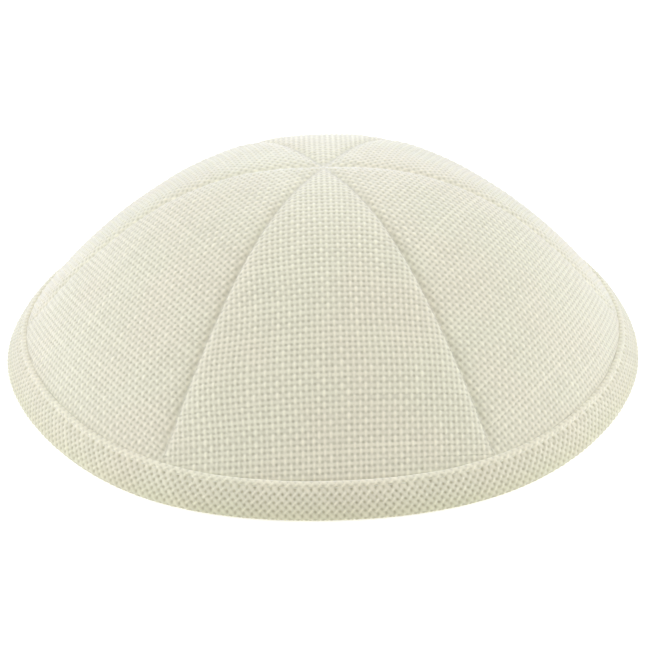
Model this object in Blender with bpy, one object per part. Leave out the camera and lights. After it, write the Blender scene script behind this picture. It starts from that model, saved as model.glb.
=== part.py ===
"""Six-panel linen skullcap with a folded binding round its rim.

Metres, +Z up. The rim stands on the floor round the origin and panel_front faces -Y.
"""
import math

import bmesh
import bpy
from mathutils import Matrix, Vector

# Overall sizes
RIM_RADIUS = 0.0950
CROWN_HEIGHT = 0.0600

# Panels
PANEL_CLOTH = 0.0012
SEAM_DEPTH = 0.0009
SEAM_REACH = 0.0016

# Binding: one strip of cloth folded over the panels' raw edges
BINDING_CLOTH = 0.0010
BINDING_HEIGHT = 0.0100
BINDING_FOOT_ROUNDING = 0.0008

# Air between two pieces of cloth
CLEARANCE = 0.0003

# Meridian from the crown to the rim: out is a share of the rim radius, up of the crown height
MERIDIAN = (
    {"out": 0.00, "up": 1.000},
    {"out": 0.15, "up": 0.994},
    {"out": 0.30, "up": 0.952},
    {"out": 0.45, "up": 0.858},
    {"out": 0.60, "up": 0.708},
    {"out": 0.75, "up": 0.502},
    {"out": 0.87, "up": 0.300},
    {"out": 0.94, "up": 0.152},
    {"out": 1.00, "up": 0.000},
)

# How the soft cap departs from a round one, a row for each seam and each panel's middle.
# crown and rim are shares of the radius there, and the turns are degrees sideways.
HANG = (
    {"at": 0, "crown": 0.020, "rim": -0.005, "crown_turn": 0.0, "rim_turn": 0.0},
    {"at": 30, "crown": -0.010, "rim": 0.015, "crown_turn": 0.0, "rim_turn": 0.0},
    {"at": 60, "crown": 0.010, "rim": 0.005, "crown_turn": 0.0, "rim_turn": 0.0},
    {"at": 90, "crown": -0.040, "rim": 0.000, "crown_turn": 0.0, "rim_turn": 0.0},
    {"at": 120, "crown": -0.010, "rim": -0.005, "crown_turn": 0.0, "rim_turn": 0.0},
    {"at": 150, "crown": -0.010, "rim": 0.015, "crown_turn": 0.0, "rim_turn": 0.0},
    {"at": 180, "crown": 0.010, "rim": 0.010, "crown_turn": 0.0, "rim_turn": 0.0},
    {"at": 210, "crown": -0.030, "rim": -0.008, "crown_turn": 0.0, "rim_turn": 0.0},
    {"at": 240, "crown": -0.035, "rim": 0.008, "crown_turn": -1.0, "rim_turn": -0.7},
    {"at": 270, "crown": -0.015, "rim": -0.018, "crown_turn": 0.0, "rim_turn": 0.0},
    {"at": 300, "crown": -0.040, "rim": -0.003, "crown_turn": 0.0, "rim_turn": 0.0},
    {"at": 330, "crown": -0.010, "rim": -0.018, "crown_turn": 0.0, "rim_turn": 0.0},
)

# Panels in order round the cap, the first between the seams at 0 and 60 degrees
PANEL_NAMES = (
    "panel_back_right",
    "panel_back",
    "panel_back_left",
    "panel_front_left",
    "panel_front",
    "panel_front_right",
)
HALF_PANEL_ANGLE = 180.0 / len(PANEL_NAMES)

# Faces: columns across half a panel, closer together at the seam, and rows down the crown
HALF_PANEL_COLUMNS = (0.0, 0.16, 0.33, 0.5, 0.67, 0.82, 0.93, 1.0)
CROWN_ROWS = 14

PANEL_COLOUR = (0.78, 0.75, 0.62, 1.0)
BINDING_COLOUR = (0.72, 0.68, 0.53, 1.0)
CLOTH_ROUGHNESS = 0.9


def smooth(rows, key, value, at):
    """Value at a place between rows, on a curve that passes through all of them."""
    last = len(rows) - 1
    i = 0
    while i < last - 1 and at > rows[i + 1][key]:
        i += 1

    def slope(j):
        a = rows[max(j - 1, 0)]
        b = rows[min(j + 1, last)]
        return (b[value] - a[value]) / (b[key] - a[key])

    span = rows[i + 1][key] - rows[i][key]
    t = (at - rows[i][key]) / span
    start = 0.0 if i == 0 and key == "out" else slope(i)
    return (
        rows[i][value] * (1 + 2 * t) * (1 - t) ** 2
        + rows[i + 1][value] * t * t * (3 - 2 * t)
        + span * start * t * (1 - t) ** 2
        - span * slope(i + 1) * t * t * (1 - t)
    )


def hang(value, direction):
    """Value of the HANG table at a direction in degrees, joined up round the cap."""
    step = HANG[1]["at"]
    before = [dict(row, at=row["at"] - 360) for row in HANG[-2:]]
    after = [dict(row, at=row["at"] + 360) for row in HANG[:3]]
    at = direction % 360
    rows = [row for row in before + list(HANG) + after if abs(row["at"] - at) < 2 * step + 1]
    return smooth(rows, "at", value, at)


def ease(t):
    """0 to 1 with soft ends."""
    t = min(max(t, 0.0), 1.0)
    return t * t * (3 - 2 * t)


def height_at(out):
    """Height of the panels' outer face at a share of the rim radius."""
    return CROWN_HEIGHT * smooth(MERIDIAN, "out", "up", out)


def out_at(height):
    """Share of the rim radius at which the panels' outer face has a height."""
    near, far = 0.3, 1.0
    for _ in range(40):
        middle = (near + far) / 2
        if height_at(middle) > height:
            near = middle
        else:
            far = middle
    return far


# The rim slopes by its run over the binding's height, so a wall is wider sideways than it is thick
RIM_RUN = RIM_RADIUS * (1.0 - out_at(BINDING_HEIGHT))
RIM_SLANT = math.hypot(BINDING_HEIGHT, RIM_RUN) / BINDING_HEIGHT

# Height of the panels' raw edge, whose inner side hangs lower by the wall's tilt
RAW_EDGE = BINDING_CLOTH + CLEARANCE + PANEL_CLOTH * RIM_RUN / math.hypot(BINDING_HEIGHT, RIM_RUN)

# Radius of the panels' outer face where it would meet the floor
PANEL_RADIUS = RIM_RADIUS - (BINDING_CLOTH + CLEARANCE) * RIM_SLANT


def cap_point(out, direction):
    """Point on the panels' outer face, at a share of the radius and a direction in degrees."""
    toward_rim = ease((out - 0.5) / 0.5)
    toward_crown = 1 - toward_rim
    spread = hang("crown", direction) * toward_crown + hang("rim", direction) * toward_rim
    turn = hang("crown_turn", direction) * toward_crown + hang("rim_turn", direction) * toward_rim
    radius = PANEL_RADIUS * out * (1 + spread)
    angle = math.radians(direction + turn)
    return Vector((radius * math.cos(angle), radius * math.sin(angle), height_at(out)))


def cap_normal(out, direction):
    """Outward direction of the panels' outer face."""
    step = 0.01
    down = cap_point(min(out + step, 1.0), direction) - cap_point(out - step, direction)
    round_ = cap_point(out, direction + step) - cap_point(out, direction - step)
    return round_.cross(down).normalized() * -1.0


def seam_pull(seam_distance, height):
    """How far a seam draws the cloth in, fading out just above the binding."""
    above_binding = (height - BINDING_HEIGHT - CLEARANCE) / (2 * SEAM_REACH)
    return SEAM_DEPTH * math.exp(-seam_distance / SEAM_REACH) * ease(above_binding)


def panel_rows():
    """Shares of the radius of a panel's rows, from the first below its tip to its raw edge."""
    fade = out_at(BINDING_HEIGHT + CLEARANCE + 2 * SEAM_REACH)
    rows = [fade * row / CROWN_ROWS for row in range(1, CROWN_ROWS + 1)]
    for height in (BINDING_HEIGHT + CLEARANCE, (BINDING_HEIGHT + RAW_EDGE) / 2, RAW_EDGE):
        rows.append(out_at(height))
    return rows


def across_panel():
    """Places across a panel, from its seam at -1 to its seam at 1."""
    return [-share for share in reversed(HALF_PANEL_COLUMNS[1:])] + list(HALF_PANEL_COLUMNS)


def cloth_material(name, colour):
    material = bpy.data.materials.new(name)
    material.use_nodes = True
    shader = material.node_tree.nodes["Principled BSDF"]
    shader.inputs["Base Color"].default_value = colour
    shader.inputs["Roughness"].default_value = CLOTH_ROUGHNESS
    shader.inputs["Metallic"].default_value = 0.0
    return material


def add_object(name, mesh_data, material):
    mesh = bpy.data.meshes.new(name)
    mesh_data.to_mesh(mesh)
    mesh_data.free()
    mesh.materials.append(material)
    mesh.shade_smooth()
    piece = bpy.data.objects.new(name, mesh)
    bpy.context.collection.objects.link(piece)
    return piece


def make_panel(name, middle, material):
    """One gore: a sheet that comes to a point at the crown, given its thickness inward."""
    half_angle = math.radians(HALF_PANEL_ANGLE)
    tip_out = CLEARANCE / 2 / math.sin(half_angle) / PANEL_RADIUS
    tip = cap_point(tip_out, middle)
    tip.z -= SEAM_DEPTH
    sheet = bmesh.new()
    above = [sheet.verts.new(tip)]
    for out in panel_rows():
        radius = PANEL_RADIUS * out
        gap_angle = math.asin(CLEARANCE / 2 / radius)
        row = []
        for share in across_panel():
            direction = middle + share * math.degrees(half_angle - gap_angle)
            seam_distance = radius * half_angle * (1 - abs(share))
            point = cap_point(out, direction)
            pull = seam_pull(seam_distance, point.z)
            row.append(sheet.verts.new(point - cap_normal(out, direction) * pull))
        for i in range(len(row) - 1):
            if len(above) == 1:
                sheet.faces.new((above[0], row[i], row[i + 1]))
            else:
                sheet.faces.new((above[i], row[i], row[i + 1], above[i + 1]))
        above = row
    panel = add_object(name, sheet, material)
    wall = panel.modifiers.new("cloth", "SOLIDIFY")
    wall.thickness = PANEL_CLOTH
    wall.offset = -1.0
    wall.use_even_offset = True
    return panel


def arc(centre_height, centre_offset, radius, start, end, steps):
    """Round corner of the binding's section, as (height, offset) pairs."""
    turns = [math.radians(start + (end - start) * i / steps) for i in range(steps + 1)]
    return [
        (centre_height + radius * math.sin(a), centre_offset + radius * math.cos(a)) for a in turns
    ]


def binding_section():
    """Closed outline of the binding as (height, offset) pairs, up its outer leg first.

    The offset is measured outward from the panels' outer face.
    """
    fold = BINDING_CLOTH / 2
    outer = CLEARANCE + BINDING_CLOTH
    slot_inner = -(PANEL_CLOTH + CLEARANCE)
    inner = slot_inner - BINDING_CLOTH
    foot = BINDING_FOOT_ROUNDING
    leg_top = BINDING_HEIGHT - fold
    middle = BINDING_HEIGHT / 2
    section = arc(foot, outer - foot, foot, -90, 0, 2)
    section += [(middle, outer)]
    section += arc(leg_top, CLEARANCE + fold, fold, 0, 180, 3)
    section += [(middle, CLEARANCE), (BINDING_CLOTH, CLEARANCE)]
    section += [(BINDING_CLOTH, slot_inner), (middle, slot_inner)]
    section += arc(leg_top, slot_inner - fold, fold, 0, 180, 3)
    section += [(middle, inner)]
    section += arc(foot, inner + foot, foot, 180, 270, 2)
    return section


def binding_point(height, offset, direction):
    face = cap_point(out_at(height), direction)
    sideways = Vector((math.cos(math.radians(direction)), math.sin(math.radians(direction)), 0.0))
    return Vector((face.x, face.y, height)) + sideways * offset * RIM_SLANT


def make_binding(material):
    """Ring of U section, open upward, that holds the panels' raw edges."""
    directions = []
    for panel in range(len(PANEL_NAMES)):
        middle = (2 * panel + 1) * HALF_PANEL_ANGLE
        directions += [middle + share * HALF_PANEL_ANGLE for share in across_panel()[:-1]]
    ring = bmesh.new()
    section = binding_section()
    loops = []
    for direction in directions:
        loops.append([ring.verts.new(binding_point(h, off, direction)) for h, off in section])
    for i, loop in enumerate(loops):
        after = loops[(i + 1) % len(loops)]
        for j in range(len(loop)):
            k = (j + 1) % len(loop)
            ring.faces.new((loop[j], after[j], after[k], loop[k]))
    return add_object("rim_binding", ring, material)


def centre_over_origin(pieces, widest):
    """Move all pieces together so that the widest one's box is centred over the origin."""
    points = [vertex.co for vertex in widest.data.vertices]
    middle_x = (min(p.x for p in points) + max(p.x for p in points)) / 2
    middle_y = (min(p.y for p in points) + max(p.y for p in points)) / 2
    for piece in pieces:
        piece.data.transform(Matrix.Translation((-middle_x, -middle_y, 0.0)))


for old in list(bpy.data.objects):
    bpy.data.objects.remove(old, do_unlink=True)

panel_linen = cloth_material("panel_linen", PANEL_COLOUR)
binding_linen = cloth_material("binding_linen", BINDING_COLOUR)
panels = [
    make_panel(name, (2 * i + 1) * HALF_PANEL_ANGLE, panel_linen)
    for i, name in enumerate(PANEL_NAMES)
]
binding = make_binding(binding_linen)
centre_over_origin(panels + [binding], binding)
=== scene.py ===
"""Finish of a six-panel skullcap of coarse ivory linen, woven, seamed and bound thread by thread.

Metres, +Z up. The rim stands on the floor round the origin and panel_front faces -Y.
"""

import math

import bpy
import numpy as np
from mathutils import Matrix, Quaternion, Vector
from mathutils.bvhtree import BVHTree


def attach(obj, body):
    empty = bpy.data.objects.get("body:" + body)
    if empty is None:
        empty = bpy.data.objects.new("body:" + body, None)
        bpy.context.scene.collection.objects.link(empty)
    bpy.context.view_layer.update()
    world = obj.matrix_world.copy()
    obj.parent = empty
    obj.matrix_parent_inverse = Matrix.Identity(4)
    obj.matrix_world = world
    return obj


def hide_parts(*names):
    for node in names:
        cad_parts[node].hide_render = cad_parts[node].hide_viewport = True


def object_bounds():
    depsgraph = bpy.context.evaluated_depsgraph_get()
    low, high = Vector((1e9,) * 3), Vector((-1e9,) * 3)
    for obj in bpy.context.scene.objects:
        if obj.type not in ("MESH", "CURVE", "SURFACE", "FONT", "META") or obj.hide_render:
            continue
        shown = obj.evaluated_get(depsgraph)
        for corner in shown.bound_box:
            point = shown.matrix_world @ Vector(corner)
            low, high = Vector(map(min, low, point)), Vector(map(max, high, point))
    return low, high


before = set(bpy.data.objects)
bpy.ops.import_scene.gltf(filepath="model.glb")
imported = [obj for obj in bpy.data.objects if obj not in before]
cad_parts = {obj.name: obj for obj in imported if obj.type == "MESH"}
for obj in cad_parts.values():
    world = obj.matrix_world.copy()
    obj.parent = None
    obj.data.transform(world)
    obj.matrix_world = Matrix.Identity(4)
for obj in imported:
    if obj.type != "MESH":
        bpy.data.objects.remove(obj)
cad_low, cad_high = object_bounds()
bpy.ops.object.select_all(action="DESELECT")


# Camera
# The cap is seen from the front and about 30 degrees above, close enough for its near rim to look
# a little larger than its far one. The camera leans by under a degree, as it was held. Angles are
# in degrees.
CAMERA_ELEVATION = 29.72
CAMERA_AZIMUTH = -0.82
CAMERA_LEAN = -0.58
CAMERA_DISTANCE = 0.600
CAMERA_LENS = 110.1
AIM_ABOVE_ORIGIN = 0.571
AIM_RIGHT_OF_ORIGIN = 0.058
NEAREST_SEEN = 0.01

bpy.ops.object.camera_add()
camera = bpy.context.object
camera.name = "camera"
camera.data.lens = CAMERA_LENS
elevation = math.radians(CAMERA_ELEVATION)
azimuth = math.radians(CAMERA_AZIMUTH)
camera.location = CAMERA_DISTANCE * Vector((
    math.sin(azimuth) * math.cos(elevation),
    -math.cos(azimuth) * math.cos(elevation),
    math.sin(elevation),
))
camera.rotation_mode = "QUATERNION"
camera.rotation_quaternion = (
    (-camera.location).to_track_quat("-Z", "Y")
    @ Quaternion((0, 0, 1), math.radians(CAMERA_LEAN))
    @ Quaternion((1, 0, 0), math.radians(AIM_ABOVE_ORIGIN))
    @ Quaternion((0, 1, 0), math.radians(-AIM_RIGHT_OF_ORIGIN))
)
camera.data.clip_start = NEAREST_SEEN
bpy.context.scene.camera = camera
bpy.context.scene.view_settings.view_transform = "Standard"


# Floor and light
# A white tent: a bright white floor that glows through a little from below, an even and slightly
# warm surround, and large soft lamps above, behind and on both sides, a little cooler than it.
FLOOR_SIZE = 16.0
FLOOR_COLOUR = (0.80, 0.80, 0.80, 1.0)
FLOOR_GLOW = 0.52
SURROUND_COLOUR = (1.0, 0.976, 0.826, 1.0)
SURROUND_STRENGTH = 0.339
ABOVE_LIGHT = (0.965, 0.976, 1.0)
LEFT_LIGHT = (0.868, 0.890, 1.0)
RIGHT_LIGHT = (0.880, 0.902, 1.0)
BACK_LIGHT = (0.803, 0.833, 1.0)
LAMPS = (
    {"name": "lamp_above", "at": (0.0, 0.25, 1.20), "size": 1.2, "power": 4.2, "colour": ABOVE_LIGHT},
    {"name": "lamp_left", "at": (-1.10, -0.10, 0.60), "size": 0.9, "power": 10.3, "colour": LEFT_LIGHT},
    {"name": "lamp_right", "at": (1.10, -0.10, 0.60), "size": 0.9, "power": 10.0, "colour": RIGHT_LIGHT},
    {"name": "lamp_back", "at": (0.0, 1.20, 0.80), "size": 0.9, "power": 5.6, "colour": BACK_LIGHT},
)

bpy.ops.mesh.primitive_plane_add(size=FLOOR_SIZE)
floor = bpy.context.object
floor.name = "floor"
floor_paint = bpy.data.materials.new("floor_paint")
floor_paint.use_nodes = True
floor_shader = floor_paint.node_tree.nodes["Principled BSDF"]
floor_shader.inputs["Base Color"].default_value = FLOOR_COLOUR
floor_shader.inputs["Roughness"].default_value = 1.0
floor_shader.inputs["Specular IOR Level"].default_value = 0.0
floor_shader.inputs["Emission Color"].default_value = (1.0, 1.0, 1.0, 1.0)
floor_shader.inputs["Emission Strength"].default_value = FLOOR_GLOW
floor.data.materials.append(floor_paint)

surround = bpy.data.worlds.new("surround")
surround.use_nodes = True
surround.node_tree.nodes["Background"].inputs["Color"].default_value = SURROUND_COLOUR
surround.node_tree.nodes["Background"].inputs["Strength"].default_value = SURROUND_STRENGTH
bpy.context.scene.world = surround

for lamp_row in LAMPS:
    bpy.ops.object.light_add(type="AREA", location=lamp_row["at"])
    lamp = bpy.context.object
    lamp.name = lamp_row["name"]
    lamp.data.size = lamp_row["size"]
    lamp.data.energy = lamp_row["power"]
    lamp.data.color = lamp_row["colour"]
    lamp.rotation_mode = "QUATERNION"
    lamp.rotation_quaternion = (-lamp.location).to_track_quat("-Z", "Y")
bpy.ops.object.select_all(action="DESELECT")


# Panels
# Six gores cut from one coarse plain-woven linen, each with its warp down its own middle. They are
# seamed edge to edge from the crown to the rim, which draws the cloth into a sharp valley, with the
# seam allowances turned to the inside.
PANELS = (
    {"node": "panel_back_right", "weft_lean": -1.0, "middle": 30},
    {"node": "panel_back", "weft_lean": 1.5, "middle": 90},
    {"node": "panel_back_left", "weft_lean": -1.5, "middle": 150},
    {"node": "panel_front_left", "weft_lean": 1.0, "middle": 210},
    {"node": "panel_front", "weft_lean": 2.0, "middle": 270},
    {"node": "panel_front_right", "weft_lean": 0.5, "middle": 330},
)
HALF_GORE = 30
PANEL_WALL = 0.0012
# Threads: their pitch, half widths as shares of it, and how far they round and wave
WARP_PITCH = 0.00154
WEFT_PITCH = 0.00162
WARP_HALF_WIDTH = 0.32
WEFT_HALF_WIDTH = 0.39
YARN_ROUNDNESS = 0.00020
WARP_WAVE = 0.00025
WARP_FLATNESS = 0.5
WEFT_WAVE = 0.00012
KNOT_TOP = 0.00018
GAP_DEPTH = 0.00055
# Places across one thread's pitch that get a vertex: its crown, its side, the gap, the next side
THREAD_PLACES = (0.0, 0.3, 0.5, 0.7)
# Tables of chance values hold a row for each thread, counted from the middle one, and some hold
# more values along each thread: how many, how far apart, and how far before its middle they start
THREADS_COUNTED = 260
MIDDLE_THREAD = 130
DRIFT_VALUES = 12
DRIFT_LENGTH = 12.0
DRIFT_START = 60
# Unevenness of the weaving
PANEL_SEED = 1000
UNEVEN_SPACING = 0.05
UNEVEN_LEAN = math.radians(0.25)
CROSSING_SPREAD = (0.87, 1.13)
OPENING_SPREAD = (0.55, 1.1)
WARP_TONES = 0.9
WEFT_TONES = 1.0
CROSSING_TONES = 0.35
# The sewn gore: how it goes under the binding, and the valleys at its seams, where the edges meet
# and overlap a little although the solids have air between them
LEG_TOP = 0.0085
ROLL_HEIGHT = 0.00055
BINDING_TOP = LEG_TOP + ROLL_HEIGHT
EDGE_EASE = 0.002
EDGE_BULGE = 0.00012
EDGE_BULGE_REACH = 0.0015
EDGE_CLOSENESS = 0.4
EDGE_CLOSE_BELOW = 0.0004
EDGE_CLOSE_REACH = 0.0014
SEAM_CREASE = 0.0005
SEAM_CREASE_REACH = 0.0006
SEAM_CALM = 0.0009
SEAM_FIRM = 0.002
SEAM_GAP = 0.0003
SEAM_OVERLAP = 0.00004
SEAM_SLANT = 0.88
SEAM_ALLOWANCE = 0.0005
CROWN_CREASE = 0.2
CROWN_REACH = 0.05
CROWN_TIP = 0.002
SOFT_WAVE = 0.00012
SOFT_WAVE_LENGTHS = (0.011, 0.017, 0.029)
SOFT_WAVE_FREE = 0.006
# The surface that the threads are laid on: how it is taken from the solid, and how close to its
# edge a row ends
BELOW_CROWN = Vector((0.0, 0.0, -0.03))
FACING_OUT = 0.6
MERGE_DISTANCE = 0.00001
SAME_FACE_ANGLE = math.radians(40)
SAME_SHAPE_ANGLE = math.radians(60)
EDGE_MISS = 0.00003
EDGE_HALVINGS = 6
SHORTEST_END = 0.3
# Colours, with a darker gap colour painted into the openings as painted shade, and how much
# brighter or darker each cause makes the yarn, painted shade in low places and painted highlights
# along yarn tops among them
LINEN_COLOUR = (0.743, 0.716, 0.571, 1.0)
LINEN_GAP_SHADE = (0.605, 0.58, 0.44, 1.0)
LINEN_GAP_RAMP = (0.16, 0.42)
PINKER = (1.006, 0.992, 0.995)
GREENER = (0.994, 1.006, 1.0)
STAIN_SCALE = 45.0
STAIN_RAMP = (0.35, 0.65)
FIBRES_ACROSS = 9.0
FIBRES_ALONG = 2.2
FIBRE_RELIEF = 0.00008
YARN_TONE = 0.026
FIBRE_TONE = 0.10
# Painted shade that darkens low places, and painted highlights that brighten yarn tops
DEPTH_SHADE = 0.25
WARP_TOP_HIGHLIGHT = 0.088
WEFT_TOP_HIGHLIGHT = 0.034
YARN_HIGHLIGHT_RAMP = (0.32, 0.02)


def thread_place(count):
    """Place, in threads, of a vertex row counted from the middle; negative counts are mirrored."""
    whole, part = divmod(abs(count), len(THREAD_PLACES))
    return math.copysign(whole + THREAD_PLACES[part], count)


def ease(t):
    t = np.clip(t, 0.0, 1.0)
    return t * t * (3 - 2 * t)


def outer_wall_of(node, middle):
    """The CAD node's outer wall as a smooth surface to lay threads on, with its tip and its foot."""
    way = Vector((math.cos(math.radians(middle)), math.sin(math.radians(middle)), 0.0))
    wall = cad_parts[node].copy()
    wall.data = wall.data.copy()
    bpy.context.collection.objects.link(wall)
    bpy.ops.object.select_all(action="DESELECT")
    wall.hide_set(False)
    bpy.context.view_layer.objects.active = wall
    wall.select_set(True)
    bpy.ops.object.mode_set(mode="EDIT")
    bpy.ops.mesh.select_all(action="SELECT")
    bpy.ops.mesh.remove_doubles(threshold=MERGE_DISTANCE)
    bpy.ops.mesh.tris_convert_to_quads(
        face_threshold=SAME_FACE_ANGLE, shape_threshold=SAME_SHAPE_ANGLE
    )
    bpy.ops.mesh.select_all(action="DESELECT")
    bpy.ops.object.mode_set(mode="OBJECT")
    for face in wall.data.polygons:
        face.select = face.normal.dot((face.center - BELOW_CROWN).normalized()) < FACING_OUT
    bpy.ops.object.mode_set(mode="EDIT")
    bpy.ops.mesh.delete(type="FACE")
    bpy.ops.mesh.select_all(action="DESELECT")
    bpy.ops.object.mode_set(mode="OBJECT")
    tip = min(wall.data.vertices, key=lambda vertex: vertex.co.dot(way))
    tip.select = True
    bpy.ops.object.mode_set(mode="EDIT")
    bpy.ops.transform.vert_crease(value=1.0)
    bpy.ops.object.mode_set(mode="OBJECT")
    smooth = wall.modifiers.new("smooth", "SUBSURF")
    smooth.levels = 2
    smooth.render_levels = 2
    smooth.boundary_smooth = "PRESERVE_CORNERS"
    bpy.ops.object.modifier_apply(modifier="smooth")
    places = [vertex.co.copy() for vertex in wall.data.vertices]
    faces = [tuple(face.vertices) for face in wall.data.polygons]
    bpy.data.objects.remove(wall, do_unlink=True)
    return {
        "surface": BVHTree.FromPolygons(places, faces),
        "tip": min(places, key=lambda place: place.dot(way)),
        "foot": min(place.z for place in places) + EDGE_MISS,
    }


def step_on(wall, place, way, length):
    """One step along the cloth: the new place, the way on, its normal, and if it left the wall."""
    aim = place + way * length
    spot, normal, _, _ = wall["surface"].find_nearest(aim)
    aside = aim - spot
    aside -= normal * aside.dot(normal)
    onward = spot - place
    onward -= normal * onward.dot(normal)
    left_wall = aside.length > EDGE_MISS or spot.z < wall["foot"]
    return spot, onward.normalized(), normal, left_wall


def drift(table, yarn, along):
    """Each yarn's own value, which changes softly along its length, a dozen threads at a time."""
    # The last slot is cut short, so that a next value is always there
    slot = np.clip((along + DRIFT_START) / DRIFT_LENGTH, 0, DRIFT_VALUES - 1.01)
    first = np.floor(slot).astype(int)
    share = ease(slot - first)
    yarn = np.clip(yarn + MIDDLE_THREAD, 0, THREADS_COUNTED - 1)
    return table[yarn, first] * (1 - share) + table[yarn, first + 1] * share


def across_seam(middle, side):
    """Level direction out of a panel and square to its seam on one side."""
    seam = math.radians(middle + side * HALF_GORE)
    return Vector((-math.sin(seam), math.cos(seam), 0.0)) * side


def lay_half_row(wall, middle, way, side, strides, out):
    """One weft's half row from the middle to the seam, as (count, place in threads, point)."""
    row = []
    place, count = middle, 0
    while True:
        stride = abs(thread_place(count + side) - thread_place(count))
        stride *= strides[round(thread_place(count)) + MIDDLE_THREAD]
        spot, onward, _, left_wall = step_on(wall, place, way, stride)
        if left_wall:
            break
        count += side
        place, way = spot, onward
        row.append((count, thread_place(count), place))
    inside, outside = 0.0, stride
    for _ in range(EDGE_HALVINGS):
        halfway = (inside + outside) / 2
        if step_on(wall, place, way, halfway)[3]:
            outside = halfway
        else:
            inside = halfway
    end = step_on(wall, place, way, inside)[0]
    end += way * (SEAM_GAP + SEAM_OVERLAP) / 2 / way.dot(out)
    if row and inside < SHORTEST_END * stride:
        row.pop()
    row.append((side * math.inf, thread_place(count) + side * inside / WARP_PITCH, end))
    return row


def lay_rows(wall, middle, weft_lean, rng):
    """All weft rows of a panel from the crown down, each from the left seam to the right one."""
    middle_direction = math.radians(middle)
    spacing = rng.normal(1.0, UNEVEN_SPACING, (THREADS_COUNTED, DRIFT_VALUES))
    weft_spacing = rng.normal(1.0, UNEVEN_SPACING, THREADS_COUNTED)
    weft_leans = math.radians(weft_lean) + rng.normal(0.0, UNEVEN_LEAN, THREADS_COUNTED)
    warps = np.arange(-MIDDLE_THREAD, MIDDLE_THREAD)
    sideways = Vector((-math.sin(middle_direction), math.cos(middle_direction), 0.0))
    way = Vector((math.cos(middle_direction), math.sin(middle_direction), 0.0))
    rows = [[(0, 0.0, wall["tip"] - way * (SEAM_GAP + SEAM_OVERLAP))]]
    place, count = wall["tip"], 0
    while True:
        t = thread_place(count + 1)
        stride = (t - thread_place(count)) * WEFT_PITCH * weft_spacing[round(t)]
        spot, onward, normal, left_wall = step_on(wall, place, way, stride)
        if left_wall:
            break
        count += 1
        onward -= sideways * onward.dot(sideways)
        place, way = spot, onward.normalized()
        lean = np.interp(t, np.arange(THREADS_COUNTED), weft_leans)
        across = Quaternion(normal, lean) @ normal.cross(way).normalized()
        strides = drift(spacing, warps, t) * WARP_PITCH
        left = lay_half_row(wall, place, -across, -1, strides, across_seam(middle, -1))
        right = lay_half_row(wall, place, across, 1, strides, across_seam(middle, 1))
        rows.append(left[::-1] + [(0, 0.0, place)] + right)
    while len(rows) % 2 == 0:
        rows.pop()
    return rows


def join_rows(faces, above, below):
    """Faces between two rows of (count, vertex): quads where the counts agree, else triangles."""
    i = k = 0
    while i < len(above) - 1 or k < len(below) - 1:
        next_above = above[i + 1][0] if i < len(above) - 1 else None
        next_below = below[k + 1][0] if k < len(below) - 1 else None
        corners = [above[i][1], below[k][1]]
        if next_below is not None and (next_above is None or next_below <= next_above):
            corners.append(below[k + 1][1])
        if next_above is not None and (next_below is None or next_above <= next_below):
            corners.append(above[i + 1][1])
        i += next_above is not None and above[i + 1][1] in corners
        k += next_below is not None and below[k + 1][1] in corners
        faces.append(corners)


def round_yarn(offset, half_width):
    """Height of a round yarn at an offset from its middle, and the gap's depth beside it."""
    inside = np.clip(1 - (offset / half_width) ** 2, 0.0, 1.0)
    return np.where(inside > 0, YARN_ROUNDNESS * np.sqrt(inside), -GAP_DEPTH)


def weave_height(s, t, loose, gaps, swap):
    """Height of a plain weave over its own middle, and 1 where the warp shows on top.

    s and t are places in threads, loose scales each crossing's knot, gaps each opening's depth,
    and swap is 1 for the cloth's other side.
    """
    warp, weft = np.round(s), np.round(t)
    rise = np.cos(math.pi * (t + warp + swap))
    warp_line = WARP_WAVE * loose * np.sign(rise) * np.abs(rise) ** WARP_FLATNESS
    weft_line = -WEFT_WAVE * loose * np.cos(math.pi * (s + weft + swap))
    warp_top = warp_line + round_yarn(s - warp, WARP_HALF_WIDTH)
    weft_top = weft_line + round_yarn(t - weft, WEFT_HALF_WIDTH)
    highest = WARP_WAVE + YARN_ROUNDNESS
    height = np.maximum(np.maximum(warp_top, weft_top) - highest, -GAP_DEPTH * gaps) + KNOT_TOP
    return height, (warp_top >= weft_top).astype(float)


def tone_of_yarns(rng, s, t, warp_shows):
    """Brightness of the yarn that shows: each yarn has its own, which drifts along its length."""
    warp, weft = np.round(s).astype(int), np.round(t).astype(int)
    warps = rng.normal(0.0, WARP_TONES, (THREADS_COUNTED, DRIFT_VALUES))
    wefts = rng.normal(0.0, WEFT_TONES, (THREADS_COUNTED, DRIFT_VALUES))
    return np.where(warp_shows > 0.5, drift(warps, warp, t), drift(wefts, weft, s))


def add_cloth_object(name, points, faces, material):
    mesh = bpy.data.meshes.new(name)
    mesh.from_pydata(points, [], faces)
    mesh.update()
    piece = bpy.data.objects.new(name, mesh)
    bpy.context.collection.objects.link(piece)
    mesh.materials.append(material)
    return piece


def store(mesh, name, values, domain="POINT"):
    """Keeps a vector for each vertex or face corner under a name that the material reads."""
    layer = mesh.attributes.new(name, "FLOAT_VECTOR", domain)
    layer.data.foreach_set("vector", np.ascontiguousarray(values, dtype=np.float32).ravel())


def add_maths(tree, operation, *values):
    """A Math node, with numbers or sockets as its values. Returns its result."""
    node = tree.nodes.new("ShaderNodeMath")
    node.operation = operation
    for socket, value in zip(node.inputs, values):
        if isinstance(value, (int, float)):
            socket.default_value = value
        else:
            tree.links.new(value, socket)
    return node.outputs[0]


def add_ramp(tree, value, start, end):
    """0 to 1 with soft ends as the value goes from start to end."""
    node = tree.nodes.new("ShaderNodeMapRange")
    node.interpolation_type = "SMOOTHSTEP"
    node.inputs["From Min"].default_value = start
    node.inputs["From Max"].default_value = end
    tree.links.new(value, node.inputs["Value"])
    return node.outputs["Result"]


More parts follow.
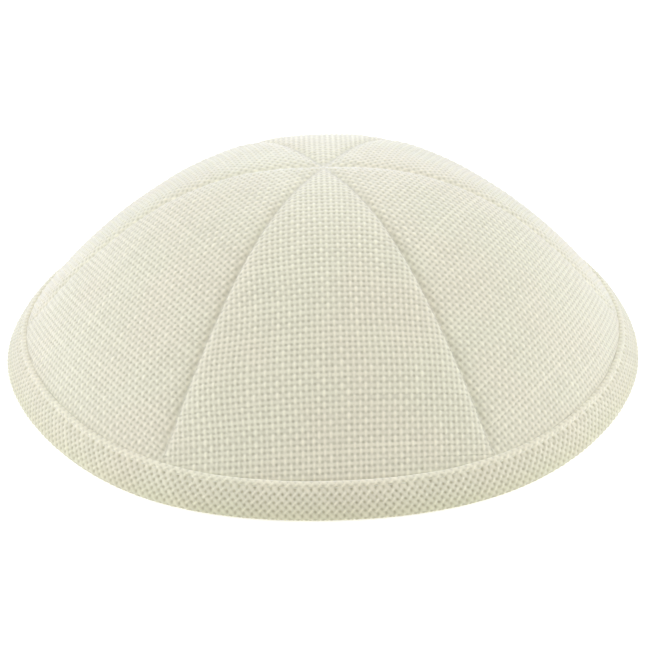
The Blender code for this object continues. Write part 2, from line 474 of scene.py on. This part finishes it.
def add_mix(tree, share, first, second, blend="MIX"):
    """Mixes two colours, each a colour or a socket."""
    node = tree.nodes.new("ShaderNodeMix")
    node.data_type = "RGBA"
    node.blend_type = blend
    if isinstance(share, (int, float)):
        node.inputs["Factor"].default_value = share
    else:
        tree.links.new(share, node.inputs["Factor"])
    for socket, value in ((node.inputs["A"], first), (node.inputs["B"], second)):
        if isinstance(value, tuple):
            socket.default_value = value
        else:
            tree.links.new(value, socket)
    return node.outputs["Result"]


def linen(name, colour, gap_shade, gap_ramp, foot_shade=None, foot_height=0.0):
    """Linen by the thread, with painted shade darkening its foot, if any, up to the foot's height.

    The attribute "threads" has the place in threads and how open the weave is there, and "yarn"
    has the yarn's tone, with a painted highlight in it on the binding's roll, whether the warp
    shows, and how deep the place lies.
    """
    material = bpy.data.materials.new(name)
    material.use_nodes = True
    tree = material.node_tree
    shader = tree.nodes["Principled BSDF"]
    threads = tree.nodes.new("ShaderNodeAttribute")
    threads.attribute_name = "threads"
    split = tree.nodes.new("ShaderNodeSeparateXYZ")
    tree.links.new(threads.outputs["Vector"], split.inputs[0])
    s, t, openness = split.outputs
    yarn = tree.nodes.new("ShaderNodeAttribute")
    yarn.attribute_name = "yarn"
    yarn_split = tree.nodes.new("ShaderNodeSeparateXYZ")
    tree.links.new(yarn.outputs["Vector"], yarn_split.inputs[0])
    tone, warp_shows, depth = yarn_split.outputs

    # Openings between the yarns, painted towards the darker gap colour as painted shade
    off_warp = add_maths(tree, "ABSOLUTE", add_maths(tree, "SUBTRACT", s, add_maths(tree, "ROUND", s)))
    off_weft = add_maths(tree, "ABSOLUTE", add_maths(tree, "SUBTRACT", t, add_maths(tree, "ROUND", t)))
    beside_warp = add_ramp(tree, off_warp, *gap_ramp)
    beside_weft = add_ramp(tree, off_weft, *gap_ramp)
    gap = add_maths(tree, "MULTIPLY", add_maths(tree, "MULTIPLY", beside_warp, beside_weft), openness)

    # Fibres run along whichever yarn shows
    along_warp = tree.nodes.new("ShaderNodeCombineXYZ")
    tree.links.new(add_maths(tree, "MULTIPLY", s, FIBRES_ACROSS), along_warp.inputs[0])
    tree.links.new(add_maths(tree, "MULTIPLY", t, FIBRES_ALONG), along_warp.inputs[1])
    along_weft = tree.nodes.new("ShaderNodeCombineXYZ")
    tree.links.new(add_maths(tree, "MULTIPLY", s, FIBRES_ALONG), along_weft.inputs[0])
    tree.links.new(add_maths(tree, "MULTIPLY", t, FIBRES_ACROSS), along_weft.inputs[1])
    fibre_place = tree.nodes.new("ShaderNodeMix")
    fibre_place.data_type = "VECTOR"
    tree.links.new(warp_shows, fibre_place.inputs["Factor"])
    tree.links.new(along_weft.outputs[0], fibre_place.inputs["A"])
    tree.links.new(along_warp.outputs[0], fibre_place.inputs["B"])
    fibres = tree.nodes.new("ShaderNodeTexNoise")
    fibres.inputs["Scale"].default_value = 1.0
    fibres.inputs["Detail"].default_value = 3.0
    fibres.inputs["Roughness"].default_value = 0.6
    tree.links.new(fibre_place.outputs["Result"], fibres.inputs["Vector"])

    # Slight stains and unevenness of the undyed cloth, wider than a thread
    place = tree.nodes.new("ShaderNodeTexCoord")
    uneven = tree.nodes.new("ShaderNodeTexNoise")
    uneven.inputs["Scale"].default_value = STAIN_SCALE
    uneven.inputs["Detail"].default_value = 2.0
    tree.links.new(place.outputs["Object"], uneven.inputs["Vector"])
    pinker = tuple(part * tint for part, tint in zip(colour, PINKER)) + (1.0,)
    greener = tuple(part * tint for part, tint in zip(colour, GREENER)) + (1.0,)
    cloth = add_mix(tree, add_ramp(tree, uneven.outputs["Fac"], *STAIN_RAMP), greener, pinker)
    # Painted shade: the cloth darkens and yellows towards its foot, where it meets the floor
    if foot_shade:
        height = tree.nodes.new("ShaderNodeSeparateXYZ")
        tree.links.new(place.outputs["Object"], height.inputs[0])
        foot_shade_share = add_ramp(tree, height.outputs["Z"], foot_height, 0.0)
        cloth = add_mix(tree, foot_shade_share, cloth, foot_shade, "MULTIPLY")

    # Each yarn's own tone, its fibres, painted shade that darkens the low places between yarns, and
    # painted highlights along their tops
    brightness = add_maths(tree, "MULTIPLY_ADD", tone, YARN_TONE, 1.0)
    fibre_share = add_maths(tree, "SUBTRACT", fibres.outputs["Fac"], 0.5)
    brightness = add_maths(tree, "MULTIPLY_ADD", fibre_share, FIBRE_TONE, brightness)
    brightness = add_maths(tree, "MULTIPLY_ADD", depth, DEPTH_SHADE, brightness)
    weft_shows = add_maths(tree, "SUBTRACT", 1.0, warp_shows)
    for off_middle, shows, top_highlight in (
        (off_warp, warp_shows, WARP_TOP_HIGHLIGHT), (off_weft, weft_shows, WEFT_TOP_HIGHLIGHT),
    ):
        painted_tops = add_maths(tree, "MULTIPLY", add_ramp(tree, off_middle, *YARN_HIGHLIGHT_RAMP), shows)
        brightness = add_maths(tree, "MULTIPLY_ADD", painted_tops, top_highlight, brightness)
    scaled = tree.nodes.new("ShaderNodeVectorMath")
    scaled.operation = "SCALE"
    tree.links.new(cloth, scaled.inputs[0])
    tree.links.new(brightness, scaled.inputs["Scale"])
    # Painted shade: the openings take the darker gap colour
    painted = add_mix(tree, gap, scaled.outputs[0], gap_shade)
    tree.links.new(painted, shader.inputs["Base Color"])

    bump = tree.nodes.new("ShaderNodeBump")
    bump.inputs["Strength"].default_value = 0.5
    bump.inputs["Distance"].default_value = FIBRE_RELIEF
    tree.links.new(fibres.outputs["Fac"], bump.inputs["Height"])
    tree.links.new(bump.outputs["Normal"], shader.inputs["Normal"])
    shader.inputs["Roughness"].default_value = 0.92
    shader.inputs["Specular IOR Level"].default_value = 0.15
    shader.inputs["Sheen Weight"].default_value = 1.0
    shader.inputs["Sheen Roughness"].default_value = 0.5
    shader.inputs["Sheen Tint"].default_value = (1.0, 1.0, 1.0, 1.0)
    return material


def number_rows(rows):
    """Rows as (count, vertex), and each vertex's point, place in threads and way to a seam."""
    lines, points, s, t, seam_distance = [], [], [], [], []
    for number, laid in enumerate(rows):
        line = []
        for count, place, point in laid:
            line.append((count, len(points)))
            points.append(point)
            s.append(place)
            t.append(thread_place(number))
            nearest_end = min(place - laid[0][1], laid[-1][1] - place)
            seam_distance.append(nearest_end * WARP_PITCH * SEAM_SLANT)
        lines.append(line)
    return lines, np.array(points), np.array(s), np.array(t), np.array(seam_distance)


def vertex_normals(points, faces):
    base = bpy.data.meshes.new("base")
    base.from_pydata(points, [], faces)
    normals = np.empty(len(points) * 3, dtype=np.float32)
    base.vertices.foreach_get("normal", normals)
    bpy.data.meshes.remove(base)
    return normals.reshape(-1, 3).astype(float)


def lazy_waves(rng, s, t):
    """Waves of the soft cloth, between -1 and 1, one to three centimetres long."""
    wave = np.zeros(len(s))
    for length in SOFT_WAVE_LENGTHS:
        angle = rng.uniform(0, math.tau)
        along = (s * math.cos(angle) * WARP_PITCH + t * math.sin(angle) * WEFT_PITCH) / length
        wave += np.sin(math.tau * along + rng.uniform(0, math.tau)) / len(SOFT_WAVE_LENGTHS)
    return wave


def turn_to_seams(normals, s, middle, from_crown):
    """Normals turned into the plane of the nearer seam, and straight up at the crown's point."""
    turned = normals.copy()
    for side in (-1, 1):
        off_seam = np.array(across_seam(middle, side))
        on_side = np.sign(s) == side
        flat_part = normals[on_side] - (normals[on_side] @ off_seam)[:, None] * off_seam
        turned[on_side] = flat_part / np.linalg.norm(flat_part, axis=1)[:, None]
    upright = (1 - ease(from_crown / CROWN_TIP))[:, None]
    return turned + (np.array((0.0, 0.0, 1.0)) - turned) * upright


def thin_rows(lines, first_number):
    """Every second row and vertex, and all row ends, as (count, new vertex), and those kept."""
    thinned, kept = [], []
    for line in lines[::2]:
        thin_line = []
        for count, vertex in line:
            if not math.isfinite(count) or count % 2 == 0:
                thin_line.append((count, first_number + len(kept)))
                kept.append(vertex)
        thinned.append(thin_line)
    return thinned, kept


def faces_between(lines):
    faces = []
    for above, below in zip(lines, lines[1:]):
        join_rows(faces, above, below)
    return faces


def edge_faces(outer_lines, inner_lines):
    """Faces that join the outer side to the inner one along both seams and the raw edge."""
    faces = []
    for end in (0, -1):
        outer_side = [(number, line[end][1]) for number, line in enumerate(outer_lines)]
        inner_side = [(2 * number, line[end][1]) for number, line in enumerate(inner_lines)]
        side_faces = []
        join_rows(side_faces, outer_side, inner_side)
        faces += [face[::-1] for face in side_faces] if end == 0 else side_faces
    join_rows(faces, outer_lines[-1], inner_lines[-1])
    return faces


def weave_panel(row, material):
    """A gore's outer and inner faces, row by row, closed along its seams and its raw edge."""
    rng = np.random.default_rng(PANEL_SEED + row["middle"])
    wall = outer_wall_of(row["node"], row["middle"])
    rows = lay_rows(wall, row["middle"], row["weft_lean"], rng)
    outer_lines, points, s, t, seam_distance = number_rows(rows)
    outer_faces = faces_between(outer_lines)
    normals = vertex_normals(points, outer_faces)

    # How firmly each crossing was beaten up, and how wide each opening is left
    crossings = rng.uniform(*CROSSING_SPREAD, (THREADS_COUNTED, THREADS_COUNTED))
    openings = rng.uniform(*OPENING_SPREAD, (THREADS_COUNTED, THREADS_COUNTED))
    warp = np.round(s).astype(int) + MIDDLE_THREAD
    weft = np.round(t).astype(int) + MIDDLE_THREAD
    warp_before = np.floor(s).astype(int) + MIDDLE_THREAD
    weft_before = np.floor(t).astype(int) + MIDDLE_THREAD
    loose = crossings[warp, weft]
    gaps = openings[warp_before, weft_before]
    height, warp_shows = weave_height(s, t, loose, gaps, 0)
    back_height, back_warp = weave_height(s, t, loose, gaps, 1)

    # The weave lies calmer at the seams and the binding, and the cloth sinks into each seam
    over_binding = points[:, 2] - BINDING_TOP
    above_binding = ease(over_binding / EDGE_EASE)
    from_crown = np.linalg.norm(points - points[0], axis=1)
    calm = 1 - (1 - ease(seam_distance / SEAM_CALM)) * above_binding
    edge_calm = ease((over_binding + EDGE_CLOSE_BELOW) / EDGE_CLOSE_REACH)
    calm *= EDGE_CLOSENESS + (1 - EDGE_CLOSENESS) * edge_calm
    crease = SEAM_CREASE * np.exp(-seam_distance / SEAM_CREASE_REACH) * above_binding
    crease *= CROWN_CREASE + (1 - CROWN_CREASE) * ease(from_crown / CROWN_REACH)
    waves = SOFT_WAVE * lazy_waves(rng, s, t) * ease(seam_distance / SOFT_WAVE_FREE) * above_binding
    waves += EDGE_BULGE * np.exp(-((over_binding / EDGE_BULGE_REACH) ** 2))

    # Near a seam the cloth is pushed and thickened along the seam's own plane, so that the two
    # panels keep their edges together
    seam_share = (1 - ease(seam_distance / SEAM_FIRM)) * above_binding
    seam_normals = turn_to_seams(normals, s, row["middle"], from_crown)
    inward = normals * (1 - seam_share)[:, None] + seam_normals * seam_share[:, None]
    outer = points + normals * (height * calm + waves)[:, None] - inward * crease[:, None]
    wall_depth = PANEL_WALL + back_height * calm + SEAM_ALLOWANCE * seam_share
    inner = points - inward * (wall_depth + crease - waves)[:, None]

    # The inner side has half the rows and vertices, and shows each crossing's other yarn
    inner_lines, kept = thin_rows(outer_lines, len(outer))
    inner_faces = [face[::-1] for face in faces_between(inner_lines)]
    faces = outer_faces + inner_faces + edge_faces(outer_lines, inner_lines)
    panel = add_cloth_object(row["node"] + "_cloth", np.vstack((outer, inner[kept])), faces, material)
    everywhere = np.concatenate((np.arange(len(points)), kept))
    tone = tone_of_yarns(rng, s, t, warp_shows)
    tone += CROSSING_TONES * rng.normal(0.0, 1.0, (THREADS_COUNTED, THREADS_COUNTED))[warp, weft]
    shows = np.concatenate((warp_shows, back_warp[kept]))
    depth = np.concatenate((height, back_height[kept])) / GAP_DEPTH
    store(panel.data, "threads", np.stack((s, t, calm), axis=1)[everywhere])
    store(panel.data, "yarn", np.stack((tone[everywhere], shows, depth), axis=1))
    panel.data.shade_smooth()
    for face in panel.data.polygons[len(outer_faces) + len(inner_faces):]:
        face.use_smooth = False
    return panel


panel_linen = linen("linen_panels", LINEN_COLOUR, LINEN_GAP_SHADE, LINEN_GAP_RAMP)
for panel_row in PANELS:
    panel_cloth = weave_panel(panel_row, panel_linen)
    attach(panel_cloth, "root")
    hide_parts(panel_row["node"])


# Rim binding
# One strip of the same linen, cut on the bias so that it bends round the rim, folded over the
# panels' raw edges. Its upper edge is turned under into a soft roll and held by a row of stitches.
BINDING_CLOTH = 0.0010
# Threads on the bias: openings round the rim, and the columns and rows of vertices over them
GAPS_ROUND_RIM = 267
COLUMNS_PER_GAP = 6
BINDING_STEP = 0.00037
# The folded strip's section: heights, offsets from its outer face, and turns in degrees
LEG_FOOT = 0.0019
ROLL_HALF_WIDTH = 0.00075
ROLL_TURN = 145
ROLL_STEPS = 5
FACE_SLANT = 1.18
INNER_FACE = -0.0038
INNER_LOW = 0.0018
SLOT_INNER = -0.0028
SLOT_MIDDLE = 0.005
SLOT_FLOOR = 0.0010
OUTER_LEG = -0.0023
# The section's inner side: its turns, and how many steps past the outer face its threads lie
INNER_FOOT_TURNS = (0, 40, 75)
INNER_FOOT_STEPS = (15, 17, 19)
INNER_STEPS = (20, 24, 28, 32, 36, 40, 44)
INNER_ROLL_TURNS = (60, 120, 180)
INNER_ROLL_STEP = 47
SLOT_STEPS = (50, 55, 60, 65)
# Heights at which the solid's rim is measured, from how far out, and the waves round it kept
RIM_HEIGHTS = (0.002, 0.004, 0.006, 0.008)
RIM_OUTSIDE = 0.2
RIM_WAVES_KEPT = 16.0
# Soft unevenness round the rim, and how far the weave shows on the roll and at the foot
BINDING_SEED = 77
FACE_BULGE = 0.00025
RIM_WAVE = 0.00008
RIM_WAVE_CYCLES = (9, 17, 26, 43)
SWAY_PART = 7
BINDING_CROSSING_SPREAD = (0.84, 1.16)
BINDING_OPENING_SPREAD = (0.75, 1.1)
ROLL_REACH = 0.0015
FOOT_REACH = 0.0010
ROLL_OPENNESS = 0.25
CLOSED_RELIEF = 0.5
# The row of stitches, the groove that it draws, and a dimple under each stitch
STITCH_LINE = 0.0078
STITCH_GROOVE = 0.00022
STITCH_GROOVE_WIDTH = 0.0006
STITCHES_ROUND_RIM = 158
STITCH_DIMPLE = 0.00036
STITCH_DIMPLE_LENGTH = 0.0010
# The roll's painted highlight, the tone of a loose crossing, and the colours, with painted shade
# in the openings and painted shade that darkens the foot
ROLL_HIGHLIGHT = 3.2
LOOSE_TONE = 2.0
BINDING_COLOUR = (0.740, 0.711, 0.560, 1.0)
BINDING_GAP_SHADE = (0.545, 0.51, 0.345, 1.0)
BINDING_GAP_RAMP = (0.18, 0.44)
FOOT_SHADE = (0.932, 0.945, 0.865, 1.0)
FOOT_SHADE_HEIGHT = 0.0065


def measure_rim():
    """The CAD binding's outer face: radius and slant for each column, with its facets smoothed."""
    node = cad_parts["rim_binding"]
    places = [vertex.co.copy() for vertex in node.data.vertices]
    faces = [tuple(face.vertices) for face in node.data.polygons]
    surface = BVHTree.FromPolygons(places, faces)
    columns = GAPS_ROUND_RIM * COLUMNS_PER_GAP
    directions = np.arange(columns) * math.tau / columns
    radii = np.empty((len(RIM_HEIGHTS), columns))
    for i, height in enumerate(RIM_HEIGHTS):
        for k, direction in enumerate(directions):
            outward = Vector((math.cos(direction), math.sin(direction), 0.0))
            start = outward * RIM_OUTSIDE + Vector((0.0, 0.0, height))
            radii[i, k] = surface.ray_cast(start, -outward)[0].xy.length
    waves = np.fft.rfft(radii, axis=1)
    waves *= np.exp(-((np.arange(waves.shape[1]) / RIM_WAVES_KEPT) ** 2))
    radii = np.fft.irfft(waves, columns, axis=1)
    return directions, np.polyfit(RIM_HEIGHTS, radii, 1)


def binding_path():
    """Closed section of the binding: heights, offsets from its outer face, and steps down it."""
    turns = np.radians(np.linspace(ROLL_TURN, 0, ROLL_STEPS + 1))
    roll = [
        (LEG_TOP + ROLL_HEIGHT * math.sin(turn), ROLL_HALF_WIDTH * (math.cos(turn) - 1), i - ROLL_STEPS)
        for i, turn in enumerate(turns)
    ]
    rows = int((LEG_TOP - LEG_FOOT) * FACE_SLANT / BINDING_STEP)
    face = [(LEG_TOP - i * BINDING_STEP / FACE_SLANT, 0.0, i) for i in range(1, rows + 1)]
    turns = np.linspace(0, math.pi / 2, round(LEG_FOOT * math.pi / 2 / BINDING_STEP) + 1)[1:]
    foot = [
        (LEG_FOOT * (1 - math.sin(turn)), LEG_FOOT * (math.cos(turn) - 1), rows + 1 + i)
        for i, turn in enumerate(turns)
    ]
    inner_side = []
    for turn, step in zip(np.radians(INNER_FOOT_TURNS), INNER_FOOT_STEPS):
        offset = INNER_FACE + BINDING_CLOTH * (1 - math.sin(turn))
        inner_side.append((BINDING_CLOTH * (1 - math.cos(turn)), offset, rows + step))
    for height, step in zip(np.linspace(INNER_LOW, LEG_TOP, len(INNER_STEPS)), INNER_STEPS):
        inner_side.append((height, INNER_FACE, rows + step))
    for turn in np.radians(INNER_ROLL_TURNS):
        offset = INNER_FACE + ROLL_HEIGHT * (1 - math.cos(turn))
        inner_side.append((LEG_TOP + ROLL_HEIGHT * math.sin(turn), offset, rows + INNER_ROLL_STEP))
    slot_corners = (
        (SLOT_MIDDLE, SLOT_INNER), (SLOT_FLOOR, SLOT_INNER),
        (SLOT_FLOOR, -BINDING_CLOTH), (SLOT_MIDDLE, -BINDING_CLOTH),
    )
    slot = [(height, offset, rows + step) for (height, offset), step in zip(slot_corners, SLOT_STEPS)]
    return np.array(roll + face + foot + inner_side + slot)


def rim_place(rim, height, offset):
    """Points at a height and an offset from the binding's outer face, for each column of rim."""
    directions, (slope, foot_radius) = rim
    radius = foot_radius + slope * height + offset * np.sqrt(1 + slope ** 2)
    height = np.broadcast_to(height, radius.shape)
    return np.stack((radius * np.cos(directions), radius * np.sin(directions), height), axis=-1)


def stitch_dip(directions):
    """1 at the middle of each stitch of the row round the rim, 0 between two stitches."""
    off_stitch = np.abs((directions / math.tau * STITCHES_ROUND_RIM + 0.5) % 1.0 - 0.5)
    reach = STITCH_DIMPLE_LENGTH * STITCHES_ROUND_RIM / (math.tau * cad_high.x)
    return np.exp(-((off_stitch / reach) ** 2))


def bind_rim(material):
    """The folded strip as one closed ring of cloth, and the rim's measures that it follows."""
    rng = np.random.default_rng(BINDING_SEED)
    rim = measure_rim()
    directions = rim[0]
    path = binding_path()
    columns, rows = len(directions), len(path)
    x = np.arange(columns) / COLUMNS_PER_GAP
    wave = np.zeros(columns)
    for cycles in RIM_WAVE_CYCLES:
        wave += np.sin(cycles * directions + rng.uniform(0, math.tau)) / len(RIM_WAVE_CYCLES)
    sway = np.roll(wave, columns // SWAY_PART)
    dip = stitch_dip(directions)
    crossings = rng.uniform(*BINDING_CROSSING_SPREAD, (GAPS_ROUND_RIM, GAPS_ROUND_RIM))
    openings = rng.uniform(*BINDING_OPENING_SPREAD, (GAPS_ROUND_RIM, GAPS_ROUND_RIM))
    warp_tone = rng.normal(0.0, 1.0, GAPS_ROUND_RIM)
    weft_tone = rng.normal(0.0, 1.0, GAPS_ROUND_RIM)

    places = np.empty((rows, columns, 3))
    threads = np.empty((rows, columns, 3))
    yarns = np.empty((rows, columns, 3))
    lift = np.empty((rows, columns))
    for i, (height, offset, step) in enumerate(path):
        y = step / COLUMNS_PER_GAP
        s, t = x + y, y - x
        warp = np.round(s).astype(int) % GAPS_ROUND_RIM
        weft = np.round(t).astype(int) % GAPS_ROUND_RIM
        warp_before = np.floor(s).astype(int) % GAPS_ROUND_RIM
        weft_before = np.floor(t).astype(int) % GAPS_ROUND_RIM
        loose = crossings[warp, weft]
        relief, warp_shows = weave_height(s, t, loose, openings[warp_before, weft_before], 0)

        # Only the outer leg and its roll show their weave, and the roll and the foot less of it
        outer = float(offset > OUTER_LEG and height > 0)
        below_roll = ease((LEG_TOP - height) / ROLL_REACH)
        above_foot = ease(height / FOOT_REACH)
        openness = outer * (ROLL_OPENNESS + (1 - ROLL_OPENNESS) * below_roll) * above_foot
        lift[i] = outer * relief * (CLOSED_RELIEF + (1 - CLOSED_RELIEF) * openness)
        body = outer * FACE_BULGE * math.sin(math.pi * min(height / LEG_TOP, 1.0))
        groove = outer * math.exp(-(((height - STITCH_LINE) / STITCH_GROOVE_WIDTH) ** 2))
        puff = body - groove * (STITCH_GROOVE + STITCH_DIMPLE * dip)
        near_top = ease(height / LEG_TOP)
        places[i] = rim_place(rim, height, offset + puff + RIM_WAVE * wave * near_top)
        places[i, :, 2] += RIM_WAVE * sway * near_top * near_top
        threads[i] = np.stack((s, t, np.full(columns, openness)), axis=1)
        tone = np.where(warp_shows > 0.5, warp_tone[warp], weft_tone[weft])
        # The roll gets a painted highlight, brighter towards its top
        tone += LOOSE_TONE * (loose - 1) + outer * ROLL_HIGHLIGHT * (1 - below_roll)
        yarns[i] = np.stack((tone, warp_shows, relief / GAP_DEPTH), axis=1)

    along = np.roll(places, -1, axis=1) - np.roll(places, 1, axis=1)
    down = np.roll(places, -1, axis=0) - np.roll(places, 1, axis=0)
    normals = np.cross(down, along)
    normals /= np.linalg.norm(normals, axis=2)[:, :, None]
    places += normals * lift[:, :, None]
    number = np.arange(rows * columns).reshape(rows, columns)
    after, below = np.roll(number, -1, axis=1), np.roll(number, -1, axis=0)
    faces = np.stack((number, below, np.roll(below, -1, axis=1), after), axis=2).reshape(-1, 4)
    binding = add_cloth_object("rim_binding_cloth", places.reshape(-1, 3), faces.tolist(), material)

    # Threads are counted on past the last column, so that the pattern closes round the rim
    once_more = threads[:, :1] + np.array((GAPS_ROUND_RIM, -GAPS_ROUND_RIM, 0.0))
    upper = np.concatenate((threads, once_more), axis=1)
    lower = np.roll(upper, -1, axis=0)
    corners = np.stack((upper[:, :-1], lower[:, :-1], lower[:, 1:], upper[:, 1:]), axis=2)
    store(binding.data, "threads", corners.reshape(-1, 3), "CORNER")
    store(binding.data, "yarn", yarns.reshape(-1, 3))
    binding.data.shade_smooth()
    return binding, rim


binding_linen = linen(
    "linen_binding", BINDING_COLOUR, BINDING_GAP_SHADE, BINDING_GAP_RAMP, FOOT_SHADE, FOOT_SHADE_HEIGHT
)
binding_cloth, rim = bind_rim(binding_linen)
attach(binding_cloth, "root")
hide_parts("rim_binding")


# Binding stitches
# A row of cream thread along the roll, as a lockstitch leaves it: each stitch dives into the cloth
# at both ends. One is modelled and repeated round the rim.
STITCH_LENGTH = 0.0021
STITCH_THREAD = 0.00036
STITCH_ARCH = 0.00030
STITCH_SIDES = 6
# A stitch sits in the groove and this share of its dimple, square to the binding's face there
SHARE_OF_DIMPLE = 0.6
STITCH_SINK = STITCH_GROOVE + SHARE_OF_DIMPLE * STITCH_DIMPLE
UP_THE_FACE = 0.001
THREAD_COLOUR = (0.80, 0.78, 0.66, 1.0)

bpy.ops.object.select_all(action="DESELECT")
bpy.ops.mesh.primitive_uv_sphere_add(
    segments=STITCH_SIDES, ring_count=STITCH_SIDES, radius=STITCH_THREAD / 2,
    rotation=(0, math.pi / 2, 0),
)
stitch = bpy.context.object
bpy.ops.object.transform_apply(location=False, rotation=True, scale=False)
bpy.ops.object.mode_set(mode="EDIT")
bpy.ops.mesh.select_all(action="SELECT")
bpy.ops.transform.resize(value=(STITCH_LENGTH / STITCH_THREAD, 1.0, 1.0))
bpy.ops.object.mode_set(mode="OBJECT")
stitch_points = np.array([vertex.co for vertex in stitch.data.vertices])
stitch_points[:, 2] -= STITCH_ARCH * (2 * stitch_points[:, 0] / STITCH_LENGTH) ** 2
stitch_faces = sorted(tuple(face.vertices) for face in stitch.data.polygons)
bpy.data.objects.remove(stitch, do_unlink=True)

seat = rim_place(rim, STITCH_LINE, -STITCH_SINK)
seat_above = rim_place(rim, STITCH_LINE + UP_THE_FACE, -STITCH_SINK)
row_points, row_faces = [], []
for number in range(STITCHES_ROUND_RIM):
    column = round(number * len(seat) / STITCHES_ROUND_RIM)
    along = seat[column + 1] - seat[column - 1]
    along /= np.linalg.norm(along)
    up = seat_above[column] - seat[column]
    up /= np.linalg.norm(up)
    out = np.cross(along, up)
    first = len(row_points) * len(stitch_points)
    row_points.append(seat[column] + stitch_points @ np.stack((along, up, out)))
    row_faces += [tuple(first + corner for corner in face) for face in stitch_faces]

thread_paint = bpy.data.materials.new("cotton_thread")
thread_paint.use_nodes = True
thread_shader = thread_paint.node_tree.nodes["Principled BSDF"]
thread_shader.inputs["Base Color"].default_value = THREAD_COLOUR
thread_shader.inputs["Roughness"].default_value = 0.7
stitches = add_cloth_object("binding_stitches", np.vstack(row_points), row_faces, thread_paint)
stitches.data.shade_smooth()
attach(stitches, "root")
